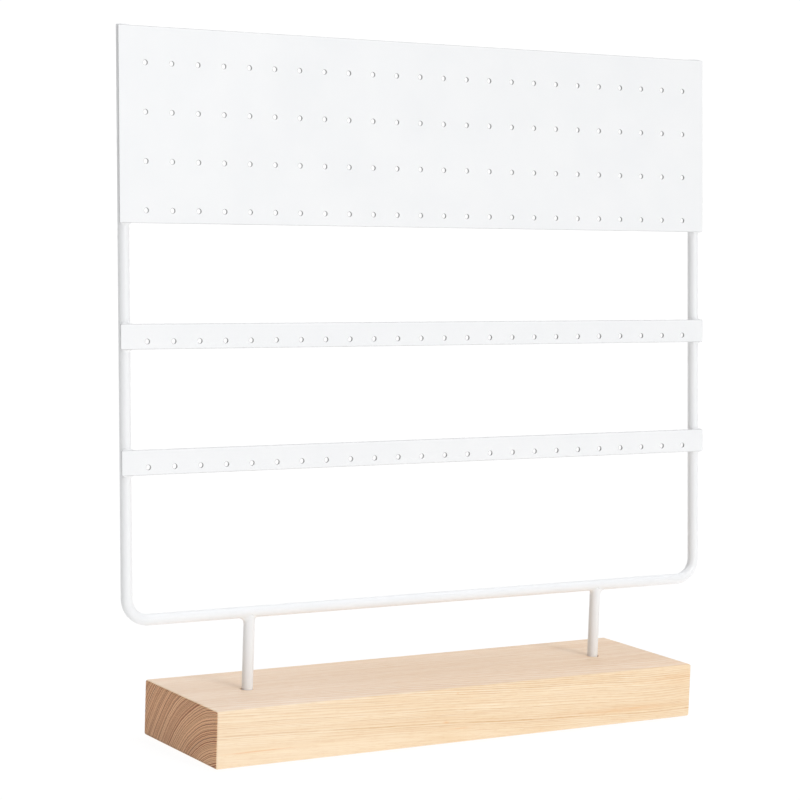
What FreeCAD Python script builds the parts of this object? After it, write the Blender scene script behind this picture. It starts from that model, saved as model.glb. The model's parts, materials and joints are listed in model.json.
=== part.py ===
"""Tabletop pegboard display stand for earrings and other small hanging goods.

A frame of round steel rod carries one perforated panel and two perforated bars.
It leans back a little and stands on two short posts. The posts plug into blind
sockets in a solid pine base, so the whole frame lifts out for packing.

Millimetres. X runs along the base, Y runs from front to back, Z is up.
The origin is at the centre of the footprint, on the surface the stand rests on.
"""
import FreeCAD
import Part
import math
import os

Vector = FreeCAD.Vector

# Perforated sheet parts
HOLE_PITCH = 12.0
HOLES_PER_ROW = 24
HOLE_DIAMETER = 2.0
END_MARGIN = 12.0
SHEET_THICKNESS = 1.0
SHEET_CORNER_RADIUS = 0.5
PANEL_HEIGHT = 80.0
PANEL_ROWS = 4
PANEL_ROW_PITCH = 20.0
PANEL_FIRST_ROW = 5.2
BAR_HEIGHT = 10.4
BAR_ROW = 3.2
SHEET_GAP = 41.0
LOWER_BAR_LIFT = 59.7

# Rod frame
ROD_DIAMETER = 4.8
ROD_SET_IN = 0.8
ROD_STANDOUT = 0.6
ROD_END_ROUNDING = 0.6
BEND_RADIUS = 9.5
LEAN_DEGREES = 4.2
RAIL_ABOVE_BASE = 33.0

# Wooden base
BASE_LENGTH = 243.0
BASE_DEPTH = 67.0
BASE_HEIGHT = 24.0
BASE_EDGE_RADIUS = 1.0

# Posts and the blind sockets that they plug into
POST_SPACING = 180.0
POST_END_ROUNDING = 0.4
SOCKET_DIAMETER = 5.4
SOCKET_DEPTH = 16.0
SOCKET_OUTWARD_SHIFT = 0.2

# Stick-on anti-slip pads
PAD_DIAMETER = 12.0
PAD_THICKNESS = 1.0
PAD_EDGE_ROUNDING = 0.3
PAD_INSET = 13.0

# Welds
OUTER_POST_WELD_LEG = 2.6
INNER_POST_WELD_LEG = 1.2
POST_WELD_WIDTH = 3.6
SHEET_WELD_RADIUS = 0.6
SHEET_WELD_LENGTH = 4.4

# Worked out from the dimensions above
ROD_RADIUS = ROD_DIAMETER / 2
SHEET_LENGTH = HOLE_PITCH * (HOLES_PER_ROW - 1) + 2 * END_MARGIN
ROD_X = SHEET_LENGTH / 2 - ROD_SET_IN - ROD_RADIUS
POST_X = POST_SPACING / 2
BASE_BOTTOM = PAD_THICKNESS
BASE_TOP = BASE_BOTTOM + BASE_HEIGHT
SOCKET_FLOOR = BASE_TOP - SOCKET_DEPTH
RAIL_Z = BASE_TOP + RAIL_ABOVE_BASE
UPPER_BAR_LIFT = LOWER_BAR_LIFT + BAR_HEIGHT + SHEET_GAP
PANEL_LIFT = UPPER_BAR_LIFT + BAR_HEIGHT + SHEET_GAP
ROD_TOP_Z = RAIL_Z + PANEL_LIFT + PANEL_HEIGHT + ROD_STANDOUT
SHEET_FRONT_Y = -ROD_RADIUS - SHEET_THICKNESS

X_AXIS = Vector(1, 0, 0)
Y_AXIS = Vector(0, 1, 0)
Z_AXIS = Vector(0, 0, 1)
SIDES = {"left": -1, "right": 1}
DEPTHS = {"front": -1, "rear": 1}


def leaned(shape):
    """The shape tilted back with the frame, about the rail's own axis."""
    tilted = shape.copy()
    tilted.rotate(Vector(0, 0, RAIL_Z), X_AXIS, -LEAN_DEGREES)
    return tilted


def upright_cylinder(diameter, height, x, y, z):
    """A cylinder that stands on the point given."""
    return Part.makeCylinder(diameter / 2, height, Vector(x, y, z), Z_AXIS)


def level_edges(shape, z):
    """The edges of a shape that lie flat at one height."""
    return [edge for edge in shape.Edges
            if math.isclose(edge.BoundBox.ZMin, z, abs_tol=1e-4)
            and math.isclose(edge.BoundBox.ZMax, z, abs_tol=1e-4)]


def bend(side):
    """The quarter bend between the rail and one side of the frame."""
    outer = side * ROD_X
    inner = side * (ROD_X - BEND_RADIUS)
    bend_z = RAIL_Z + BEND_RADIUS
    reach = BEND_RADIUS * math.sqrt(0.5)
    return Part.Arc(Vector(outer, 0, bend_z),
                    Vector(inner + side * reach, 0, bend_z - reach),
                    Vector(inner, 0, RAIL_Z)).toShape()


def frame_rod():
    """One rod bent into a U: two sides joined by the bottom rail."""
    bend_x = ROD_X - BEND_RADIUS
    bend_z = RAIL_Z + BEND_RADIUS
    top_left = Vector(-ROD_X, 0, ROD_TOP_Z)
    top_right = Vector(ROD_X, 0, ROD_TOP_Z)
    path = Part.Wire([
        Part.makeLine(top_left, Vector(-ROD_X, 0, bend_z)),
        bend(-1),
        Part.makeLine(Vector(-bend_x, 0, RAIL_Z), Vector(bend_x, 0, RAIL_Z)),
        bend(1),
        Part.makeLine(Vector(ROD_X, 0, bend_z), top_right),
    ])
    section = Part.Wire(Part.makeCircle(ROD_RADIUS, top_left, Z_AXIS))
    rod = path.makePipeShell([section], True, True)
    rod = rod.makeFillet(ROD_END_ROUNDING, level_edges(rod, ROD_TOP_Z))
    return leaned(rod)


def perforated_sheet(lift, height, row_heights):
    """A flat strip across the front of both rods, with one row of holes per height."""
    left = -SHEET_LENGTH / 2
    bottom = RAIL_Z + lift
    blank = Part.makeBox(SHEET_LENGTH, SHEET_THICKNESS, height,
                         Vector(left, SHEET_FRONT_Y, bottom))
    corners = [edge for edge in blank.Edges if edge.BoundBox.YLength > SHEET_THICKNESS / 2]
    blank = blank.makeFillet(SHEET_CORNER_RADIUS, corners)
    drills = []
    for row_height in row_heights:
        for column in range(HOLES_PER_ROW):
            start = Vector(left + END_MARGIN + HOLE_PITCH * column,
                           SHEET_FRONT_Y - SHEET_THICKNESS, bottom + row_height)
            drills.append(Part.makeCylinder(HOLE_DIAMETER / 2, 3 * SHEET_THICKNESS,
                                            start, Y_AXIS))
    return leaned(blank.cut(drills))


def peg_panel():
    """The tall sheet at the top, with its rows of holes set low on it."""
    rows = [PANEL_FIRST_ROW + PANEL_ROW_PITCH * row for row in range(PANEL_ROWS)]
    return perforated_sheet(PANEL_LIFT, PANEL_HEIGHT, rows)


def peg_bar(lift):
    """A narrow strip with one row of holes."""
    return perforated_sheet(lift, BAR_HEIGHT, [BAR_ROW])


def rail_at(x):
    """A length of the rail round one post, used to shape what meets it."""
    reach = 3 * ROD_DIAMETER
    return Part.makeCylinder(ROD_RADIUS, 2 * reach, Vector(x - reach, 0, RAIL_Z), X_AXIS)


def post(side):
    """A short rod, coped to the rail at its top and rounded at its lower end."""
    x = side * POST_X
    rod = upright_cylinder(ROD_DIAMETER, RAIL_Z - SOCKET_FLOOR, x, 0, SOCKET_FLOOR)
    rod = rod.makeFillet(POST_END_ROUNDING, level_edges(rod, SOCKET_FLOOR))
    return rod.cut(rail_at(x))


def post_weld(side, way, leg):
    """A hollow fillet of weld under the rail, on one side of one post."""
    x = side * POST_X
    y = -POST_WELD_WIDTH / 2
    rail_bottom = RAIL_Z - ROD_RADIUS
    toe_z = rail_bottom - leg
    inner_x = x + way * ROD_RADIUS / 2
    face_x = x + way * ROD_RADIUS
    toe_x = face_x + way * leg
    hollow = leg * (1 - math.sqrt(0.5))
    outline = [
        Part.makeLine(Vector(inner_x, y, toe_z), Vector(inner_x, y, RAIL_Z)),
        Part.makeLine(Vector(inner_x, y, RAIL_Z), Vector(toe_x, y, RAIL_Z)),
        Part.makeLine(Vector(toe_x, y, RAIL_Z), Vector(toe_x, y, rail_bottom)),
        Part.Arc(Vector(toe_x, y, rail_bottom),
                 Vector(face_x + way * hollow, y, rail_bottom - hollow),
                 Vector(face_x, y, toe_z)).toShape(),
        Part.makeLine(Vector(face_x, y, toe_z), Vector(inner_x, y, toe_z)),
    ]
    web = Part.Face(Part.Wire(outline)).extrude(Vector(0, POST_WELD_WIDTH, 0))
    post_rod = upright_cylinder(ROD_DIAMETER, RAIL_Z - BASE_TOP, x, 0, BASE_TOP)
    return web.cut(rail_at(x)).cut(post_rod)


def post_welds():
    """The welds that join both posts to the rail, larger on the outer sides."""
    welds = []
    for side in SIDES.values():
        welds.append(post_weld(side, side, OUTER_POST_WELD_LEG))
        welds.append(post_weld(side, -side, INNER_POST_WELD_LEG))
    return Part.makeCompound(welds)


def sheet_weld(side, edge_z, way):
    """A bead in the corner between one rod and one sheet's upper or lower edge."""
    x = side * ROD_X
    start = Vector(x - SHEET_WELD_LENGTH / 2, -ROD_RADIUS, edge_z)
    bead = Part.makeCylinder(SHEET_WELD_RADIUS, SHEET_WELD_LENGTH, start, X_AXIS)
    far_z = edge_z + way * 2 * SHEET_WELD_RADIUS
    beyond_edge = Part.makeBox(ROD_DIAMETER, ROD_DIAMETER, 2 * SHEET_WELD_RADIUS,
                               Vector(x - ROD_RADIUS, -ROD_DIAMETER, min(edge_z, far_z)))
    rod_end = edge_z + min(ROD_DIAMETER, ROD_TOP_Z - edge_z)
    rod = upright_cylinder(ROD_DIAMETER, rod_end - RAIL_Z, x, 0, RAIL_Z)
    return leaned(bead.common(beyond_edge).cut(rod))


def sheet_welds():
    """The beads that hold the panel and both bars to the rods."""
    beads = []
    for lift, height in ((LOWER_BAR_LIFT, BAR_HEIGHT), (UPPER_BAR_LIFT, BAR_HEIGHT),
                         (PANEL_LIFT, PANEL_HEIGHT)):
        for side in SIDES.values():
            beads.append(sheet_weld(side, RAIL_Z + lift, -1))
            beads.append(sheet_weld(side, RAIL_Z + lift + height, 1))
    return Part.makeCompound(beads)


def wood_base():
    """A solid block with eased edges and a blind socket under each post."""
    corner = Vector(-BASE_LENGTH / 2, -BASE_DEPTH / 2, BASE_BOTTOM)
    block = Part.makeBox(BASE_LENGTH, BASE_DEPTH, BASE_HEIGHT, corner)
    block = block.makeFillet(BASE_EDGE_RADIUS, block.Edges)
    for side in SIDES.values():
        x = side * (POST_X + SOCKET_OUTWARD_SHIFT)
        block = block.cut(upright_cylinder(SOCKET_DIAMETER, BASE_HEIGHT, x, 0, SOCKET_FLOOR))
    return block


def foot_pad(side, depth):
    """A stick-on disc near one corner of the base."""
    x = side * (BASE_LENGTH / 2 - PAD_INSET)
    y = depth * (BASE_DEPTH / 2 - PAD_INSET)
    pad = upright_cylinder(PAD_DIAMETER, PAD_THICKNESS, x, y, 0)
    return pad.makeFillet(PAD_EDGE_ROUNDING, level_edges(pad, 0))


def build():
    """Every piece of the stand, by the name of its node."""
    pieces = {
        "wood_base": wood_base(),
        "frame_rod": frame_rod(),
        "peg_panel": peg_panel(),
        "upper_bar": peg_bar(UPPER_BAR_LIFT),
        "lower_bar": peg_bar(LOWER_BAR_LIFT),
        "post_welds": post_welds(),
        "sheet_welds": sheet_welds(),
    }
    for side_name, side in SIDES.items():
        pieces["post_" + side_name] = post(side)
        for depth_name, depth in DEPTHS.items():
            pieces["foot_pad_" + depth_name + "_" + side_name] = foot_pad(side, depth)
    return pieces


os.makedirs("parts", exist_ok=True)
for node, shape in build().items():
    shape.exportStep("parts/" + node + ".step")
    extent = shape.BoundBox
    print("%-22s solids %2d  valid %s  volume %9.1f mm3  z %6.2f to %6.2f"
          % (node, len(shape.Solids), shape.isValid(), shape.Volume, extent.ZMin, extent.ZMax))
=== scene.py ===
"""The looks of a tabletop pegboard display stand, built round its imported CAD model.

Everything is in metres in the CAD model's own frame. MM turns millimetres into metres.
The stand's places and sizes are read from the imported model; what is added here is
the surface quality: rims, rounded edges, weld beads, powder coat, pine and light.
"""
import bpy
import json
import math
from mathutils import Matrix, Vector, noise
from mathutils.geometry import delaunay_2d_cdt


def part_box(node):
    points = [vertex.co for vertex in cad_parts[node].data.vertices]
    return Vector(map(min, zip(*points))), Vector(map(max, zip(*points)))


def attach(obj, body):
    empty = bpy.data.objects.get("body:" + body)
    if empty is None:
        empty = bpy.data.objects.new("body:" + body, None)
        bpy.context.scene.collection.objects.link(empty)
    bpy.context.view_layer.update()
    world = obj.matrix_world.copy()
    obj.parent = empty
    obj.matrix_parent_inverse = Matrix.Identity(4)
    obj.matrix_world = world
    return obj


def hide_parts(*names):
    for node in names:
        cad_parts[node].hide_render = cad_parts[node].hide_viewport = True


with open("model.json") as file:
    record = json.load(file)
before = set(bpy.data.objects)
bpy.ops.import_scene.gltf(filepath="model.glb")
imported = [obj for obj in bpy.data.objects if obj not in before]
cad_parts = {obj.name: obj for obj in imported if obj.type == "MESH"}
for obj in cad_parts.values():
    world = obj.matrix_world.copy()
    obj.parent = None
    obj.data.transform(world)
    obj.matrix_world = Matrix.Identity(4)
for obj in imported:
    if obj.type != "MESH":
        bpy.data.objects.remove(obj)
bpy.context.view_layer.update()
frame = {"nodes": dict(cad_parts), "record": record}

MM = 0.001
MOUNTS = {mount["name"]: mount for mount in frame["record"]["mounts"]}

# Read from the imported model
HOOK_HOLE = MOUNTS["panel_hook_hole"]
HOLE_RADIUS = HOOK_HOLE["dims"]["r_mm"] * MM
SHEET_THICKNESS = HOOK_HOLE["dims"]["length_mm"] * MM
LEAN = math.asin(HOOK_HOLE["axis"][2])
POST_LOW, POST_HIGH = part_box("post_right")
ROD_RADIUS = (POST_HIGH.x - POST_LOW.x) / 2
POST_X = (POST_HIGH.x + POST_LOW.x) / 2
SOCKET_FLOOR = POST_LOW.z
RAIL_Z = POST_HIGH.z
ROD_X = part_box("frame_rod")[1].x - ROD_RADIUS
SHEET_HALF_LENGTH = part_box("peg_panel")[1].x
SHEET_FRONT = -ROD_RADIUS - SHEET_THICKNESS
BASE_LOW, BASE_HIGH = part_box("wood_base")
BASE_HEIGHT = BASE_HIGH.z - BASE_LOW.z

# Repeated from the design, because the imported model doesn't state them
HOLE_PITCH = 12 * MM
HOLES_PER_ROW = 24
PANEL_ROWS = 4
PANEL_ROW_PITCH = 20 * MM
SHEET_CORNER_RADIUS = 0.5 * MM
BEND_RADIUS = 9.5 * MM
ROD_STANDOUT = 0.6 * MM
ROD_END_ROUNDING = 0.6 * MM
POST_END_ROUNDING = 0.4 * MM
BASE_EDGE_RADIUS = 1.0 * MM
SOCKET_RADIUS = 2.7 * MM
SOCKET_OUTWARD_SHIFT = 0.2 * MM

# Finish of the edges
SHEET_EDGE_ROUNDING = 0.25 * MM
HOLE_RIM_ROUNDING = 0.24 * MM
BASE_CORNER_RADIUS = 1.05 * MM
SOCKET_RIM_ROUNDING = 0.25 * MM
PAD_ROUNDING = 0.35 * MM

# Fillets of weld round the posts, with a ripple round each and small lumps on it
OUTER_POST_WELD_LEG = 2.4 * MM
INNER_POST_WELD_LEG = 1.0 * MM
SMALL_WELD_LEG = 0.2 * MM
WELD_FADE_POWER = 1.5
WELD_TURN_SOFTNESS = 0.04
WELD_HOLLOW = 0.30
WELD_RIPPLE = 0.18
WELD_RIPPLE_WAVES = 2.2
WELD_LUMPS = 0.10 * MM
WELD_LUMPS_PER_MM = 0.9
WELD_OVERLAP = 0.25 * MM
POST_WELD_SEED_STEP = 7.3

# Beads of weld along the sheets' edges
BEAD_HALF_LENGTH = 2.2 * MM
BEAD_RADIUS = 0.58 * MM
BEAD_END_POWER = 0.6
BEAD_LUMPS = 0.22
BEAD_LUMPS_PER_MM = 0.8
BEAD_SEED_STEP = 3.7

# Fineness of the curved surfaces
EDGE_SEGMENTS = 4
CORNER_SEGMENTS = 8
RIM_SEGMENTS = 3
HOLE_SEGMENTS = 40
ROD_SEGMENTS = 48
BEND_SEGMENTS = 24
END_SEGMENTS = 6
WELD_SEGMENTS = 72
WELD_STEPS = 10
BEAD_RINGS = 20
BEAD_SEGMENTS = 24
PAD_SEGMENTS = 64
MERGE_DISTANCE = 1e-9
FLAT_FACE_WEIGHT = 80

# Powder coat. Points down the holes and on the near face's rounded edges are marked, and painted
# shade greys the coat there
PAINTED_SHADE_ATTRIBUTE = "painted_shade_amount"
EDGE_PAINTED_SHADE = 0.6
HOLE_PAINTED_SHADE = 0.92
PAINTED_SHADE_COLOUR = (0.42, 0.42, 0.42, 1)
COAT_COLOURS = ((0.3, (0.880, 0.885, 0.892)), (0.7, (0.900, 0.902, 0.905)))
COAT_ROUGHNESS = ((0.3, 0.30), (0.7, 0.36))
COAT_SPECULAR = 0.4
COAT_BUMP = 0.10

# Rubber
RUBBER_COLOURS = ((0.3, (0.60, 0.61, 0.60)), (0.7, (0.68, 0.69, 0.68)))
RUBBER_ROUGHNESS = 0.55
RUBBER_BUMP = 0.2

# Colours of the pine along the grain and across it
PINE_FACE = (0.972, 0.792, 0.574, 1)
PINE_FACE_LATE = (0.750, 0.480, 0.235, 1)
PINE_FACE_CREAM = (1.0, 0.900, 0.760, 1)
# Painted light: the cool tint of the light from above, laid on the top face
PINE_TOP_PAINTED_LIGHT = (0.985, 0.985, 1.075, 1)
PINE_END = (1.0, 0.638, 0.370, 1)
PINE_END_LATE = (0.260, 0.085, 0.035, 1)
RESIN = (0.860, 0.500, 0.230, 1)
PINE_ROUGHNESS = ((0.0, 0.62), (1.0, 0.50))
PINE_SPECULAR = 0.35
PINE_BUMP = 0.25

# The trunk, in millimetres: its rings run round a pith in front of the block and below it.
# It sinks along X, then bends upwards at the right end
PITH_Y = BASE_LOW.y / MM - 10.0
PITH_Z = BASE_LOW.z / MM - 40.0
TRUNK_CLIMB = -0.045
TRUNK_BEND_START = 88.0
TRUNK_BEND = 0.0013
RINGS_PER_MM = 1.15
RING_WANDER = 2.4
RING_RIPPLE = 0.45
RING_CROWDING = 3.5
RING_CROWDING_WAVES = 0.14
WEAKEST_RING = 0.40
RING_UNEVENNESS = 1.6

# How dark the late wood is and how light the early wood, from a ring's start to its end
LATE_WOOD = ((0.0, 0.30), (0.12, 0.0), (0.50, 0.05), (0.74, 0.60), (0.88, 1.0), (1.0, 0.30))
EARLY_WOOD = ((0.0, 0.0), (0.10, 1.0), (0.22, 1.0), (0.36, 0.0))
# The rings near the pith are plain: distance from it, as a share of PLAIN_REACH
PLAIN_REACH = 100.0
PLAIN_RINGS = ((0.44, 0.12), (0.48, 1.0))

# Noises: waves per millimetre along each axis, then detail and roughness
COAT_PEEL = ((1.4, 1.4, 1.4), 2.0, 0.5)
COAT_CLOUD = ((0.045, 0.045, 0.045), 3.0, 0.5)
RUBBER_GRAIN = ((2.2, 2.2, 2.2), 2.0, 0.5)
WANDER_NOISE = ((0.012, 0.04, 0.04), 2.0, 0.5)
RIPPLE_NOISE = ((0.03, 0.5, 0.5), 2.0, 0.5)
FIBRE_NOISE = ((0.04, 3.2, 3.2), 3.0, 0.6)
FLECK_NOISE = ((0.25, 1.6, 1.6), 3.0, 0.65)
STREAK_NOISE = ((0.010, 0.30, 0.30), 3.0, 0.6)
BREAK_NOISE = ((0.08, 1.0, 1.0), 3.0, 0.6)
RESIN_NOISE = ((0.10, 1.6, 1.6), 3.0, 0.6)
PORE_NOISE = ((0.6, 3.2, 3.2), 4.0, 0.7)
BAND_WAVES = 0.11
FINE_RING_WAVES = 1.9

# Tints laid over the pine where a noise is low, each fading out to none
NO_TINT = (1.0, 1.0, 1.0)
FIBRE_TINT = ((0.36, (0.945, 0.890, 0.810)), (0.60, NO_TINT))
FLECK_TINT = ((0.34, (0.965, 0.930, 0.890)), (0.50, NO_TINT))
STREAK_TINT = ((0.35, (0.960, 0.920, 0.880)), (0.62, NO_TINT))
FACE_BAND_TINT = ((0.30, (0.970, 0.945, 0.915)), (0.65, NO_TINT))
PORE_TINT = ((0.34, (0.66, 0.55, 0.48)), (0.60, NO_TINT))
FINE_RING_TINT = ((0.38, (0.42, 0.20, 0.12)), (0.50, NO_TINT))
END_BAND_TINT = ((0.30, (0.95, 0.90, 0.86)), (0.65, NO_TINT))

# How the pine changes over the block
LINE_BREAKS = ((0.34, 0.25), (0.56, 1.0))
TOP_LINE_FADE = 0.25
PALE_TO_THE_LEFT = ((0.10, 0.0), (0.90, 0.15))
TOP_FACING = ((0.90, 0.0), (0.98, 1.0))
END_FACING = ((0.62, 0.0), (0.82, 1.0))
# Painted shade on the ends, deepest along their foot
END_PAINTED_SHADE_BY_HEIGHT = ((0.03, 0.62), (0.06, 0.86), (0.60, 1.0))
RESIN_PATCHES = ((0.35, 0.35), (0.60, 1.0))
RESIN_DEPTH = 3.0
# Resin streaks and flecks on the front: x, height, half-length, half-height, strength
RESIN_MARKS = ((86.0, 7.6, 20.0, 1.1, 0.55),
               (112.0, 19.5, 12.0, 2.4, 0.30),
               (-104.0, 7.0, 15.0, 0.30, 0.75),
               (-11.0, 10.4, 1.6, 0.45, 0.75),
               (-3.5, 7.2, 4.0, 0.30, 0.75),
               (-5.5, 22.8, 0.5, 0.45, 0.70))

# Depths of the surface textures
FINE_TEXTURE = 0.05 * MM
PINE_TEXTURE = 0.08 * MM
FIBRE_IN_TEXTURE = 0.6

# Camera
CAMERA_AZIMUTH = math.radians(31.84)
CAMERA_ELEVATION = math.radians(5.70)
CAMERA_ROLL = math.radians(1.964)
CAMERA_DISTANCE = 1.0609
CAMERA_TARGET = Vector((-0.0190, 0.0, 0.1460))
CAMERA_LENS = 110.34
CAMERA_NEAR = 0.05
CAMERA_FAR = 50.0

# Stage. The room's light is a wall behind the stand, by how squarely a direction faces it
FLOOR_HALF = 6.0
FLOOR_COLOUR = (0.12, 0.12, 0.12, 1)
FLOOR_ROUGHNESS = 0.9
FLOOR_GLOW = 0.91
WHITE_LIGHT = (1, 1, 1, 1)
ROOM_LIGHT = ((0.70, 0.15), (0.85, 1.0))
BACKDROP_STRENGTH = 1.05
# Suns: name, azimuth, elevation and spread in degrees, strength and colour
SUNS = (("key_front_right", 12, 20, 24, 1.265, (0.99, 1.0, 1.005)),
        ("overhead", 0, 90, 80, 1.93, (0.985, 0.995, 1.02)))


# ---------------------------------------------------------------- helpers

def on_frame(u, lift, depth=0.0):
    """A point of the leaning frame: across, up the lean from the rail, and to the rear."""
    return Vector((u,
                   depth * math.cos(LEAN) + lift * math.sin(LEAN),
                   RAIL_Z + lift * math.cos(LEAN) - depth * math.sin(LEAN)))


def lift_of(point):
    """How far up the lean a point is, measured from the rail's centre."""
    return point[1] * math.sin(LEAN) + (point[2] - RAIL_Z) * math.cos(LEAN)


def sheet_span(node):
    """The lifts of a sheet's bottom and top edges, from its upright box."""
    low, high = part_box(node)
    bottom = (low.z - RAIL_Z - ROD_RADIUS * math.sin(LEAN)) / math.cos(LEAN)
    top = (high.z - RAIL_Z + SHEET_FRONT * math.sin(LEAN)) / math.cos(LEAN)
    return bottom, top


def circle(radius, segments, centre=(0.0, 0.0)):
    """Points round a circle, anticlockwise."""
    turns = [2 * math.pi * k / segments for k in range(segments)]
    return [(centre[0] + radius * math.cos(turn), centre[1] + radius * math.sin(turn))
            for turn in turns]


def quarter_turn(steps):
    """The angles from 0 to a right angle."""
    return [math.pi / 2 * k / steps for k in range(steps + 1)]


def rounded_rectangle(low, high, radius, inset):
    """Points round a rectangle with rounded corners, anticlockwise, shrunk by the inset."""
    points = []
    corners = ((high[0], high[1]), (low[0], high[1]), (low[0], low[1]), (high[0], low[1]))
    for quarter, (x, y) in enumerate(corners):
        cx = x - radius if quarter in (0, 3) else x + radius
        cy = y - radius if quarter in (0, 1) else y + radius
        for angle in quarter_turn(CORNER_SEGMENTS):
            turn = angle + quarter * math.pi / 2
            points.append((cx + (radius - inset) * math.cos(turn),
                           cy + (radius - inset) * math.sin(turn)))
    return points


def edge_profile(rounding, thickness, segments):
    """(inset, depth) steps over a plate's edge, rounded at both faces."""
    near = [(rounding * (1 - math.sin(angle)), rounding * (1 - math.cos(angle)))
            for angle in quarter_turn(segments)]
    far = [(inset, thickness - depth) for inset, depth in reversed(near)]
    return near + far


def loft(profiles, closed):
    """Vertices and faces over a row of closed profiles with equal counts of points.

    A closed row joins its last profile to its first; an open one is capped at both ends.
    """
    count = len(profiles[0])
    rows = len(profiles)
    verts = [point for profile in profiles for point in profile]
    faces = []
    for row in range(rows if closed else rows - 1):
        here = row * count
        there = (row + 1) % rows * count
        for k in range(count):
            after = (k + 1) % count
            faces.append((here + k, there + k, there + after, here + after))
    if not closed:
        faces.append(tuple(range(count)))
        faces.append(tuple(reversed(range((rows - 1) * count, rows * count))))
    return verts, faces


def join(pieces):
    """Several (verts, faces) pairs as one."""
    verts, faces = [], []
    for piece_verts, piece_faces in pieces:
        start = len(verts)
        verts += piece_verts
        faces += [tuple(start + n for n in face) for face in piece_faces]
    return verts, faces


def add_piece(name, geometry, material, body, node):
    """A smooth-shaded mesh object that rides on a body and stands for a CAD node.

    The geometry is vertices and faces, and may have each vertex's painted-shade mark too.
    """
    verts, faces, *marks = geometry
    mesh = bpy.data.meshes.new(name)
    mesh.from_pydata([tuple(vert) for vert in verts], [], faces)
    for mark in marks:
        mesh.attributes.new(PAINTED_SHADE_ATTRIBUTE, "FLOAT", "POINT").data.foreach_set("value", mark)
    mesh.validate()
    for polygon in mesh.polygons:
        polygon.use_smooth = True
    mesh.materials.append(material)
    piece = bpy.data.objects.new(name, mesh)
    bpy.context.scene.collection.objects.link(piece)
    # Keeps broad flat faces flat while their rounded edges stay smooth.
    modifier = piece.modifiers.new("even_shading", "WEIGHTED_NORMAL")
    modifier.weight = FLAT_FACE_WEIGHT
    modifier.keep_sharp = False
    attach(piece, body)
    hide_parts(node)


# ---------------------------------------------------------------- plates

class Plate:
    """A flat plate with rounded edges and round holes, built up ring by ring."""

    def __init__(self, place):
        self.place = place
        self.verts = []
        self.faces = []
        self.flat = []
        self.painted_shade = []

    def ring(self, points, depth, painted_shade):
        """Adds one closed ring of points at a depth and returns their numbers."""
        start = len(self.verts)
        self.flat += points
        self.painted_shade += [painted_shade] * len(points)
        self.verts += [self.place(x, y, depth) for x, y in points]
        return list(range(start, len(self.verts)))

    def wall(self, rings):
        """Joins each ring to the next with quads."""
        for upper, lower in zip(rings, rings[1:]):
            for k in range(len(upper)):
                after = (k + 1) % len(upper)
                self.faces.append((upper[k], upper[after], lower[after], lower[k]))

    def cap(self, outline, holes, flip):
        """Fills the outline, apart from its holes, with triangles."""
        numbers = outline + [n for hole in holes for n in hole]
        local = {n: k for k, n in enumerate(numbers)}
        loops = [[local[n] for n in loop] for loop in [outline] + holes]
        edges = [(loop[k], loop[(k + 1) % len(loop)]) for loop in loops for k in range(len(loop))]
        owner = {k: number for number, loop in enumerate(loops) for k in loop}
        points = [Vector(self.flat[n]) for n in numbers]
        result = delaunay_2d_cdt(points, edges, [], 0, MERGE_DISTANCE)
        source = [origins[0] for origins in result[3]]
        for triangle in result[2]:
            corners = [source[k] for k in triangle]
            owners = {owner[k] for k in corners}
            if len(owners) == 1 and owners != {0}:
                continue
            face = [numbers[k] for k in corners]
            self.faces.append(tuple(reversed(face)) if flip else tuple(face))


def build_plate(place, low, high, radius, rounding, thickness, holes, rim, hole_floor=None):
    """A plate between two corners, with holes given as (x, y, radius).

    hole_floor is the depth of blind holes; without it they go right through. The
    points on the near face's rounded edge and down the holes are marked, because
    painted shade is laid there.
    """
    plate = Plate(place)
    # Painted shade on the near face's rounded edge.
    outer = [plate.ring(rounded_rectangle(low, high, radius, inset), depth,
                        EDGE_PAINTED_SHADE * float(0 < depth <= rounding))
             for inset, depth in edge_profile(rounding, thickness, EDGE_SEGMENTS)]
    plate.wall([ring[::-1] for ring in outer])
    hole_steps = edge_profile(rim, thickness, RIM_SEGMENTS)
    if hole_floor is not None:
        hole_steps = hole_steps[:RIM_SEGMENTS + 1] + [(0.0, hole_floor)]
    near_holes = []
    far_holes = []
    for x, y, hole_radius in holes:
        # Painted shade on the holes' rims and down their bores.
        rings = [plate.ring(circle(hole_radius + inset, HOLE_SEGMENTS, (x, y)), depth,
                            HOLE_PAINTED_SHADE * float(inset < rim))
                 for inset, depth in hole_steps]
        plate.wall(rings)
        near_holes.append(rings[0])
        if hole_floor is None:
            far_holes.append(rings[-1])
        else:
            plate.faces.append(tuple(rings[-1]))
    plate.cap(outer[0], near_holes, flip=False)
    plate.cap(outer[-1], far_holes, flip=True)
    return plate.verts, plate.faces, plate.painted_shade


# ---------------------------------------------------------------- materials

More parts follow.
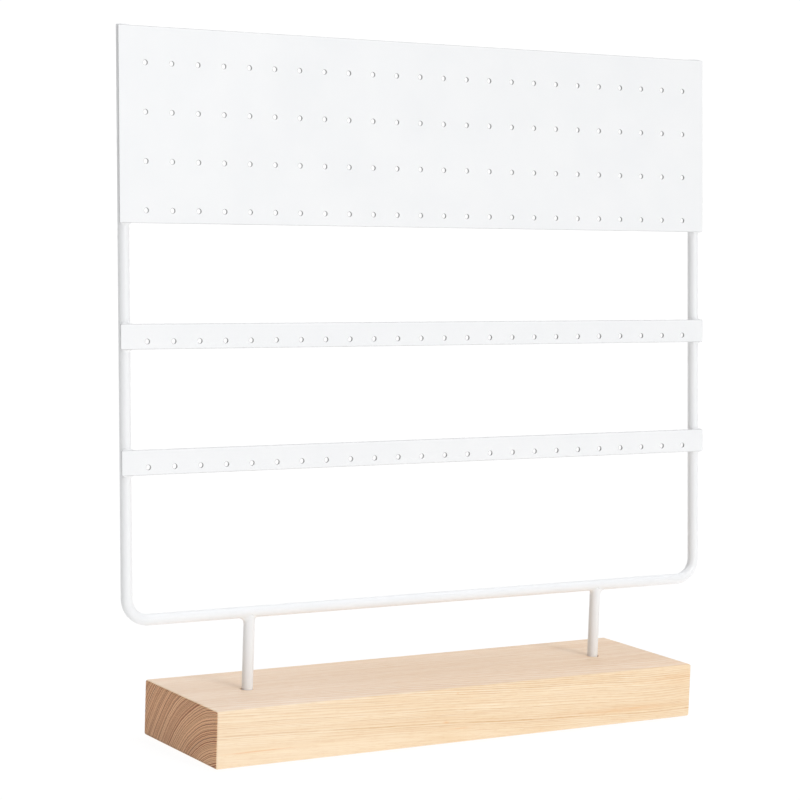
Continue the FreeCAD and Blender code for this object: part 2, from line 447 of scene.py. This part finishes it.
class Nodes:
    """A short way to add and join shader nodes in one tree."""

    def __init__(self, tree):
        self.tree = tree

    def add(self, kind, **settings):
        """A new node with its settings."""
        node = self.tree.nodes.new(kind)
        for key, value in settings.items():
            setattr(node, key, value)
        return node

    def feed(self, socket, value):
        """Sets a socket's value, or joins it to an output."""
        if isinstance(value, bpy.types.NodeSocket):
            self.tree.links.new(value, socket)
        else:
            socket.default_value = value

    def math(self, operation, first, second=0.0, third=0.0):
        """The result of one calculation."""
        node = self.add("ShaderNodeMath", operation=operation)
        for socket, value in zip(node.inputs, (first, second, third)):
            self.feed(socket, value)
        return node.outputs[0]

    def place(self):
        """The point on the object, in millimetres."""
        return self.scaled(self.add("ShaderNodeTexCoord").outputs["Object"], (1 / MM,) * 3)

    def scaled(self, vector, factors):
        """The vector with each part multiplied by its own factor."""
        node = self.add("ShaderNodeVectorMath", operation="MULTIPLY")
        self.feed(node.inputs[0], vector)
        node.inputs[1].default_value = factors
        return node.outputs[0]

    def split(self, vector):
        """The vector's three parts."""
        node = self.add("ShaderNodeSeparateXYZ")
        self.feed(node.inputs[0], vector)
        return node.outputs

    def tilted(self, vector, slope):
        """The vector with its height measured from a line that climbs along X."""
        x, y, z = self.split(vector)
        node = self.add("ShaderNodeCombineXYZ")
        for socket, value in zip(node.inputs, (x, y, self.math("MULTIPLY_ADD", x, -slope, z))):
            self.feed(socket, value)
        return node.outputs[0]

    def noise(self, vector, waves, detail, roughness):
        """Smooth noise, stretched by its number of waves per unit along each axis."""
        node = self.add("ShaderNodeTexNoise")
        self.feed(node.inputs["Vector"], self.scaled(vector, waves))
        node.inputs["Scale"].default_value = 1.0
        node.inputs["Detail"].default_value = detail
        node.inputs["Roughness"].default_value = roughness
        return node.outputs["Fac"]

    def noise_along(self, value, waves):
        """Smooth noise along a line."""
        node = self.add("ShaderNodeTexNoise", noise_dimensions="1D")
        self.feed(node.inputs["W"], value)
        node.inputs["Scale"].default_value = waves
        return node.outputs["Fac"]

    def swing(self, value, amount, onto):
        """Adds a noise to a value, as a swing to both sides."""
        return self.math("MULTIPLY_ADD", self.math("SUBTRACT", value, 0.5), amount, onto)

    def squared_distance(self, value, centre, width):
        """The square of how many widths a value is from a centre."""
        away = self.math("DIVIDE", self.math("SUBTRACT", value, centre), width)
        return self.math("MULTIPLY", away, away)

    def ramp(self, value, stops):
        """A smooth map from a value to colours, given as (position, colour)."""
        node = self.add("ShaderNodeValToRGB")
        elements = node.color_ramp.elements
        while len(elements) < len(stops):
            elements.new(0.5)
        for element, (position, colour) in zip(elements, stops):
            element.position = position
            element.color = (*colour, 1.0)
        self.feed(node.inputs[0], value)
        return node.outputs[0]

    def grade(self, value, stops):
        """A smooth map from a value to another, given as (position, value)."""
        return self.ramp(value, [(position, (shade,) * 3) for position, shade in stops])

    def mix(self, factor, first, second, blend="MIX"):
        """Two colours blended by a factor."""
        node = self.add("ShaderNodeMix", data_type="RGBA", blend_type=blend)
        self.feed(node.inputs["Factor"], factor)
        self.feed(node.inputs[6], first)
        self.feed(node.inputs[7], second)
        return node.outputs[2]

    def tinted(self, colour, *tints):
        """The colour with every tint laid over it."""
        for tint in tints:
            colour = self.mix(1.0, colour, tint, "MULTIPLY")
        return colour

    def bump(self, height, strength, distance, shader):
        """Gives the shader a fine surface texture."""
        node = self.add("ShaderNodeBump")
        node.inputs["Strength"].default_value = strength
        node.inputs["Distance"].default_value = distance
        self.feed(node.inputs["Height"], height)
        self.feed(shader.inputs["Normal"], node.outputs[0])


def new_material(name):
    """A material with its node helper and its main shader."""
    material = bpy.data.materials.new(name)
    material.use_nodes = True
    return material, Nodes(material.node_tree), material.node_tree.nodes["Principled BSDF"]


def powder_coat():
    """White powder coat: satin, with a very fine orange-peel surface, and painted shade in grey at
    marked points.
    """
    material, nodes, shader = new_material("powder_coat")
    place = nodes.place()
    cloud = nodes.noise(place, *COAT_CLOUD)
    painted_shade = nodes.add("ShaderNodeAttribute", attribute_name=PAINTED_SHADE_ATTRIBUTE).outputs["Fac"]
    # Painted shade: marked points turn grey.
    coat_and_painted_shade = nodes.mix(painted_shade, nodes.ramp(cloud, COAT_COLOURS), PAINTED_SHADE_COLOUR)
    nodes.feed(shader.inputs["Base Color"], coat_and_painted_shade)
    nodes.feed(shader.inputs["Roughness"], nodes.grade(cloud, COAT_ROUGHNESS))
    shader.inputs["Specular IOR Level"].default_value = COAT_SPECULAR
    nodes.bump(nodes.noise(place, *COAT_PEEL), COAT_BUMP, FINE_TEXTURE, shader)
    return material


def trunk_radius(nodes, place):
    """The distance from the pith, a little uneven, as the rings are."""
    x, y, z = nodes.split(place)
    beyond = nodes.math("MAXIMUM", nodes.math("SUBTRACT", x, TRUNK_BEND_START), 0.0)
    bend = nodes.math("MULTIPLY", nodes.math("MULTIPLY", beyond, beyond), TRUNK_BEND)
    rise = nodes.math("MULTIPLY_ADD", x, TRUNK_CLIMB, bend)
    across = nodes.math("SUBTRACT", y, PITH_Y)
    upward = nodes.math("SUBTRACT", nodes.math("SUBTRACT", z, PITH_Z), rise)
    squares = nodes.math("ADD", nodes.math("MULTIPLY", across, across),
                         nodes.math("MULTIPLY", upward, upward))
    radius = nodes.math("SQRT", squares)
    radius = nodes.swing(nodes.noise(place, *WANDER_NOISE), RING_WANDER, radius)
    return nodes.swing(nodes.noise(place, *RIPPLE_NOISE), RING_RIPPLE, radius)


def pine_rings(nodes, radius):
    """How dark the late wood is at a radius of the trunk, and how light the early wood."""
    crowding = nodes.math("MULTIPLY", nodes.noise_along(radius, RING_CROWDING_WAVES), RING_CROWDING)
    phase = nodes.math("MULTIPLY_ADD", radius, RINGS_PER_MM, crowding)
    position = nodes.math("FRACT", phase)
    ring = nodes.add("ShaderNodeTexWhiteNoise", noise_dimensions="1D")
    nodes.feed(ring.inputs["W"], nodes.math("FLOOR", phase))
    uneven = nodes.math("POWER", ring.outputs["Value"], RING_UNEVENNESS)
    strength = nodes.math("MULTIPLY_ADD", uneven, 1 - WEAKEST_RING, WEAKEST_RING)
    plain = nodes.grade(nodes.math("DIVIDE", radius, PLAIN_REACH), PLAIN_RINGS)
    strength = nodes.math("MULTIPLY", strength, plain)
    return (nodes.math("MULTIPLY", nodes.grade(position, LATE_WOOD), strength),
            nodes.math("MULTIPLY", nodes.grade(position, EARLY_WOOD), strength))


def resin_marks(nodes, place):
    """How much resin shows: a few streaks and flecks just under the front face."""
    x, y, z = nodes.split(place)
    depth = nodes.squared_distance(y, BASE_LOW.y / MM, RESIN_DEPTH)
    total = 0.0
    for centre, height, half_length, half_height, strength in RESIN_MARKS:
        away = nodes.math("ADD", nodes.squared_distance(x, centre, half_length),
                          nodes.squared_distance(z, height, half_height))
        away = nodes.math("ADD", away, depth)
        shown = nodes.math("EXPONENT", nodes.math("MULTIPLY", away, -1.0))
        total = nodes.math("MULTIPLY_ADD", shown, strength, total)
    patchy = nodes.grade(nodes.noise(place, *RESIN_NOISE), RESIN_PATCHES)
    return nodes.math("MULTIPLY", total, patchy)


def pine_along_grain(nodes, place, facing_up, radius, late, early, fibre):
    """The colour of the long faces. Their lines are broken, and weaker on the top, and the top gets
    a cool painted light tint.
    """
    x = nodes.split(place)[0]
    shown = nodes.math("MULTIPLY_ADD", nodes.math("ABSOLUTE", facing_up), -TOP_LINE_FADE, 1.0)
    broken = nodes.grade(nodes.noise(place, *BREAK_NOISE), LINE_BREAKS)
    shown = nodes.math("MULTIPLY", shown, broken)
    face = nodes.mix(nodes.math("MULTIPLY", late, shown), PINE_FACE, PINE_FACE_LATE)
    face = nodes.mix(nodes.math("MULTIPLY", early, shown), face, PINE_FACE_CREAM)
    face = nodes.tinted(face,
                        nodes.ramp(fibre, FIBRE_TINT),
                        nodes.ramp(nodes.noise(place, *FLECK_NOISE), FLECK_TINT),
                        nodes.ramp(nodes.noise(place, *STREAK_NOISE), STREAK_TINT),
                        nodes.ramp(nodes.noise_along(radius, BAND_WAVES), FACE_BAND_TINT))
    pale = nodes.grade(nodes.math("DIVIDE", x, BASE_LOW.x / MM), PALE_TO_THE_LEFT)
    face = nodes.mix(pale, face, PINE_FACE_CREAM)
    face = nodes.mix(resin_marks(nodes, place), face, RESIN)
    # Painted light: the faces turned up get the cool tint of the light from above.
    top_painted_light = nodes.grade(facing_up, TOP_FACING)
    return nodes.mix(top_painted_light, face, nodes.tinted(face, PINE_TOP_PAINTED_LIGHT))


def pine_end_grain(nodes, place, radius, late):
    """The colour of the ends, which are darker than the faces, with painted shade that deepens
    towards their foot.
    """
    height = nodes.math("SUBTRACT", nodes.split(place)[2], BASE_LOW.z / MM)
    share = nodes.math("DIVIDE", height, BASE_HEIGHT / MM)
    # Painted shade darkens the ends towards their foot.
    return nodes.tinted(nodes.mix(late, PINE_END, PINE_END_LATE),
                        nodes.ramp(nodes.noise(place, *PORE_NOISE), PORE_TINT),
                        nodes.ramp(nodes.noise_along(radius, FINE_RING_WAVES), FINE_RING_TINT),
                        nodes.grade(share, END_PAINTED_SHADE_BY_HEIGHT),
                        nodes.ramp(nodes.noise_along(radius, BAND_WAVES), END_BAND_TINT))


def pine():
    """Solid planed pine, cut from one side of the trunk."""
    material, nodes, shader = new_material("pine")
    place = nodes.place()
    normal = nodes.split(nodes.add("ShaderNodeNewGeometry").outputs["Normal"])
    radius = trunk_radius(nodes, place)
    late, early = pine_rings(nodes, radius)
    fibre = nodes.noise(nodes.tilted(place, TRUNK_CLIMB), *FIBRE_NOISE)
    face = pine_along_grain(nodes, place, normal[2], radius, late, early, fibre)
    end = pine_end_grain(nodes, place, radius, late)
    # End grain carries on a little way round the rounded edges.
    is_end = nodes.grade(nodes.math("ABSOLUTE", normal[0]), END_FACING)
    nodes.feed(shader.inputs["Base Color"], nodes.mix(is_end, face, end))
    nodes.feed(shader.inputs["Roughness"], nodes.grade(late, PINE_ROUGHNESS))
    shader.inputs["Specular IOR Level"].default_value = PINE_SPECULAR
    texture = nodes.math("MULTIPLY_ADD", fibre, FIBRE_IN_TEXTURE, late)
    nodes.bump(texture, PINE_BUMP, PINE_TEXTURE, shader)
    return material


def pad_rubber():
    """Soft clear-white rubber with a matt face."""
    material, nodes, shader = new_material("pad_rubber")
    grain = nodes.noise(nodes.place(), *RUBBER_GRAIN)
    nodes.feed(shader.inputs["Base Color"], nodes.ramp(grain, RUBBER_COLOURS))
    shader.inputs["Roughness"].default_value = RUBBER_ROUGHNESS
    nodes.bump(grain, RUBBER_BUMP, FINE_TEXTURE, shader)
    return material


WHITE = powder_coat()
PINE = pine()
RUBBER = pad_rubber()


# ---------------------------------------------------------------- sheets

def add_sheet(node, mount, rows):
    """The panel or a bar. The mount marks its lowest row, and the rows go up from it."""
    bottom, top = sheet_span(node)
    first_row = lift_of(MOUNTS[mount]["pos_m"])
    first_column = -HOLE_PITCH * (HOLES_PER_ROW - 1) / 2
    holes = [(first_column + HOLE_PITCH * column, first_row + PANEL_ROW_PITCH * row, HOLE_RADIUS)
             for row in range(rows) for column in range(HOLES_PER_ROW)]
    geometry = build_plate(lambda x, y, depth: on_frame(x, y, SHEET_FRONT + depth),
                           (-SHEET_HALF_LENGTH, bottom), (SHEET_HALF_LENGTH, top),
                           SHEET_CORNER_RADIUS, SHEET_EDGE_ROUNDING, SHEET_THICKNESS,
                           holes, HOLE_RIM_ROUNDING)
    add_piece(node + "_sheet", geometry, WHITE, "frame", node)


# ---------------------------------------------------------------- rods

def tube(path, rounding):
    """A rod along a path of (centre, direction) steps, with rounded ends."""
    first, last = path[0], path[-1]
    ends = [(rounding * (1 - math.cos(angle)), ROD_RADIUS - rounding * (1 - math.sin(angle)))
            for angle in quarter_turn(END_SEGMENTS)]
    steps = [(first[0] + first[1] * along, first[1], size) for along, size in ends]
    steps += [(centre, way, ROD_RADIUS) for centre, way in path[1:-1]]
    steps += [(last[0] - last[1] * along, last[1], size) for along, size in reversed(ends)]
    side = Vector((0, 1, 0))
    profiles = []
    for centre, way, size in steps:
        up = side.cross(way).normalized()
        profiles.append([centre + side * a + up * b for a, b in circle(size, ROD_SEGMENTS)])
    return loft(profiles, closed=False)


def add_frame_rod():
    """The U-shaped rod, down one side, along the rail and up the other side."""
    top = sheet_span("peg_panel")[1] + ROD_STANDOUT
    flat = [((-ROD_X, top), (0, -1))]
    for angle in quarter_turn(BEND_SEGMENTS):
        x = -ROD_X + BEND_RADIUS * (1 - math.cos(angle))
        lift = BEND_RADIUS * (1 - math.sin(angle))
        flat.append(((x, lift), (math.sin(angle), -math.cos(angle))))
    flat += [((-x, lift), (dx, -dlift)) for (x, lift), (dx, dlift) in reversed(flat)]
    lean = Matrix.Rotation(-LEAN, 3, "X")
    path = [(on_frame(x, lift), lean @ Vector((dx, 0, dlift))) for (x, lift), (dx, dlift) in flat]
    add_piece("frame_rod_bent", tube(path, ROD_END_ROUNDING), WHITE,
              "frame", "frame_rod")


def add_post(node, x):
    """A short upright rod. Its top ends inside the rail."""
    top = RAIL_Z - ROD_RADIUS / 2
    heights = (SOCKET_FLOOR, (SOCKET_FLOOR + top) / 2, top)
    path = [(Vector((x, 0, z)), Vector((0, 0, 1))) for z in heights]
    add_piece(node + "_rod", tube(path, POST_END_ROUNDING), WHITE, "frame", node)


# ---------------------------------------------------------------- welds

def post_weld_profile(turn, x, seed):
    """The weld's cross-section on one side of the post, from the post to the rail."""
    c, s = math.cos(turn), math.sin(turn)
    ripple = noise.noise(Vector((WELD_RIPPLE_WAVES * c, WELD_RIPPLE_WAVES * s, seed)))
    full_leg = OUTER_POST_WELD_LEG if c * x > 0 else INNER_POST_WELD_LEG
    leg = SMALL_WELD_LEG + full_leg * abs(c) ** WELD_FADE_POWER * (1 + WELD_RIPPLE * ripple)
    outward = c / math.sqrt(c * c + WELD_TURN_SOFTNESS)
    corner = Vector((ROD_RADIUS * c, ROD_RADIUS * s, -ROD_RADIUS * abs(c)))
    toe = corner + Vector((0, 0, -leg))
    far = corner + Vector((leg * outward, 0, 0))
    control = corner.lerp((toe + far) / 2, WELD_HOLLOW)
    swell = Vector((outward, 0, -1)).normalized() * WELD_LUMPS
    profile = [toe + Vector((-c, -s, 0)) * WELD_OVERLAP]
    for k in range(WELD_STEPS + 1):
        t = k / WELD_STEPS
        point = toe * (1 - t) ** 2 + control * 2 * t * (1 - t) + far * t * t
        lump = noise.noise(point / MM * WELD_LUMPS_PER_MM + Vector((0, 0, seed)))
        profile.append(point + swell * (math.sin(math.pi * t) * lump))
    profile.append(far + Vector((0, -s, 1)) * WELD_OVERLAP)
    profile.append(Vector((corner.x / 2, corner.y / 2, corner.z + WELD_OVERLAP)))
    return [point + Vector((x, 0, RAIL_Z)) for point in profile]


def add_post_welds():
    """A fillet of weld all round the top of each post."""
    welds = []
    for number, x in enumerate((-POST_X, POST_X)):
        seed = number * POST_WELD_SEED_STEP
        profiles = [post_weld_profile(2 * math.pi * k / WELD_SEGMENTS, x, seed)
                    for k in range(WELD_SEGMENTS)]
        welds.append(loft(profiles, closed=True))
    add_piece("post_weld_fillets", join(welds), WHITE, "frame", "post_welds")


def bead(x, lift, seed):
    """One lumpy bead along a sheet's edge, in the corner between the sheet and a rod."""
    profiles = []
    for ring in range(1, BEAD_RINGS):
        angle = math.pi * ring / BEAD_RINGS
        along = -BEAD_HALF_LENGTH * math.cos(angle)
        profile = []
        for a, b in circle(1.0, BEAD_SEGMENTS):
            lump = noise.noise(Vector((along / MM * BEAD_LUMPS_PER_MM, a, b + seed)))
            size = BEAD_RADIUS * math.sin(angle) ** BEAD_END_POWER * (1 + BEAD_LUMPS * lump)
            profile.append(on_frame(x + along, lift + size * b, -ROD_RADIUS + size * a))
        profiles.append(profile)
    return loft(profiles, closed=False)


def add_sheet_welds():
    """Beads where every sheet's upper and lower edges cross the rods."""
    edges = [lift for node in ("lower_bar", "upper_bar", "peg_panel") for lift in sheet_span(node)]
    places = [(x, lift) for lift in edges for x in (-ROD_X, ROD_X)]
    beads = [bead(x, lift, number * BEAD_SEED_STEP) for number, (x, lift) in enumerate(places)]
    add_piece("sheet_weld_beads", join(beads), WHITE, "frame", "sheet_welds")


# ---------------------------------------------------------------- base and pads

def add_base():
    """The pine block, with its top face at depth 0 and a blind socket for each post."""
    sockets = [(side * (POST_X + SOCKET_OUTWARD_SHIFT), 0.0, SOCKET_RADIUS) for side in (-1, 1)]
    geometry = build_plate(lambda x, y, depth: Vector((x, y, BASE_HIGH.z - depth)),
                           BASE_LOW.xy, BASE_HIGH.xy, BASE_CORNER_RADIUS, BASE_EDGE_RADIUS,
                           BASE_HEIGHT, sockets, SOCKET_RIM_ROUNDING, BASE_HIGH.z - SOCKET_FLOOR)
    add_piece("pine_block", geometry, PINE, "base", "wood_base")


def add_pad(node):
    """A stick-on disc with a soft rounded rim."""
    low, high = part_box(node)
    centre = (low + high) / 2
    radius = (high.x - low.x) / 2
    outline = [(radius, high.z)]
    for angle in quarter_turn(END_SEGMENTS):
        outline.append((radius - PAD_ROUNDING * (1 - math.cos(angle)),
                        low.z + PAD_ROUNDING * (1 - math.sin(angle))))
    profiles = [[Vector((x, y, z)) for x, y in circle(size, PAD_SEGMENTS, centre.xy)]
                for size, z in outline]
    add_piece(node + "_disc", loft(profiles, closed=False), RUBBER, "base", node)


# ---------------------------------------------------------------- stage, light and camera

def add_floor():
    """A white sweep under the stand that glows enough to keep its shadow faint."""
    mesh = bpy.data.meshes.new("floor")
    corners = [(-FLOOR_HALF, -FLOOR_HALF, 0), (FLOOR_HALF, -FLOOR_HALF, 0),
               (FLOOR_HALF, FLOOR_HALF, 0), (-FLOOR_HALF, FLOOR_HALF, 0)]
    mesh.from_pydata(corners, [], [(0, 1, 2, 3)])
    material, _, shader = new_material("floor_white")
    shader.inputs["Base Color"].default_value = FLOOR_COLOUR
    shader.inputs["Roughness"].default_value = FLOOR_ROUGHNESS
    shader.inputs["Specular IOR Level"].default_value = 0.0
    shader.inputs["Emission Color"].default_value = WHITE_LIGHT
    shader.inputs["Emission Strength"].default_value = FLOOR_GLOW
    mesh.materials.append(material)
    floor = bpy.data.objects.new("floor", mesh)
    bpy.context.scene.collection.objects.link(floor)


def add_world():
    """A dim room with a bright wall behind the stand, which the camera sees as plain white."""
    world = bpy.data.worlds.new("studio")
    world.use_nodes = True
    bpy.context.scene.world = world
    nodes = Nodes(world.node_tree)
    ambient = world.node_tree.nodes["Background"]
    toward = nodes.add("ShaderNodeVectorMath", operation="DOT_PRODUCT")
    nodes.feed(toward.inputs[0], nodes.add("ShaderNodeTexCoord").outputs["Generated"])
    toward.inputs[1].default_value = (math.sin(CAMERA_AZIMUTH), math.cos(CAMERA_AZIMUTH), 0)
    nodes.feed(ambient.inputs["Color"], nodes.grade(toward.outputs["Value"], ROOM_LIGHT))
    backdrop = nodes.add("ShaderNodeBackground")
    backdrop.inputs["Color"].default_value = WHITE_LIGHT
    backdrop.inputs["Strength"].default_value = BACKDROP_STRENGTH
    mixed = nodes.add("ShaderNodeMixShader")
    nodes.feed(mixed.inputs[0], nodes.add("ShaderNodeLightPath").outputs["Is Camera Ray"])
    nodes.feed(mixed.inputs[1], ambient.outputs[0])
    nodes.feed(mixed.inputs[2], backdrop.outputs[0])
    nodes.feed(world.node_tree.nodes["World Output"].inputs[0], mixed.outputs[0])


def add_sun(name, azimuth, elevation, spread, strength, colour):
    """A distant soft light. Azimuth 0 is in front of the stand, and 90 to its right."""
    a, e = math.radians(azimuth), math.radians(elevation)
    away = Vector((math.sin(a) * math.cos(e), -math.cos(a) * math.cos(e), math.sin(e)))
    light = bpy.data.lights.new(name, "SUN")
    light.angle = math.radians(spread)
    light.energy = strength
    light.color = colour
    lamp = bpy.data.objects.new(name, light)
    lamp.location = away
    lamp.rotation_euler = away.to_track_quat("Z", "Y").to_euler()
    bpy.context.scene.collection.objects.link(lamp)


def add_camera():
    """The camera, turned about its own line of sight by the roll."""
    forward = Vector((math.sin(CAMERA_AZIMUTH) * math.cos(CAMERA_ELEVATION),
                      math.cos(CAMERA_AZIMUTH) * math.cos(CAMERA_ELEVATION),
                      -math.sin(CAMERA_ELEVATION)))
    level = Vector((math.cos(CAMERA_AZIMUTH), -math.sin(CAMERA_AZIMUTH), 0))
    upright = level.cross(forward)
    right = level * math.cos(CAMERA_ROLL) + upright * math.sin(CAMERA_ROLL)
    up = right.cross(forward)
    data = bpy.data.cameras.new("camera")
    data.lens = CAMERA_LENS
    data.clip_start = CAMERA_NEAR
    data.clip_end = CAMERA_FAR
    camera = bpy.data.objects.new("camera", data)
    turned = Matrix((right, up, -forward)).transposed().to_4x4()
    camera.matrix_world = Matrix.Translation(CAMERA_TARGET - forward * CAMERA_DISTANCE) @ turned
    bpy.context.scene.collection.objects.link(camera)
    bpy.context.scene.camera = camera


# ---------------------------------------------------------------- the scene

bpy.context.scene.view_settings.view_transform = "Standard"
add_camera()
add_world()
add_floor()
for sun in SUNS:
    add_sun(*sun)
add_base()
add_frame_rod()
add_post("post_left", -POST_X)
add_post("post_right", POST_X)
add_sheet("peg_panel", "panel_hook_hole", PANEL_ROWS)
add_sheet("upper_bar", "upper_bar_hook_hole", 1)
add_sheet("lower_bar", "lower_bar_hook_hole", 1)
add_post_welds()
add_sheet_welds()
for node in frame["nodes"]:
    if node.startswith("foot_pad"):
        add_pad(node)
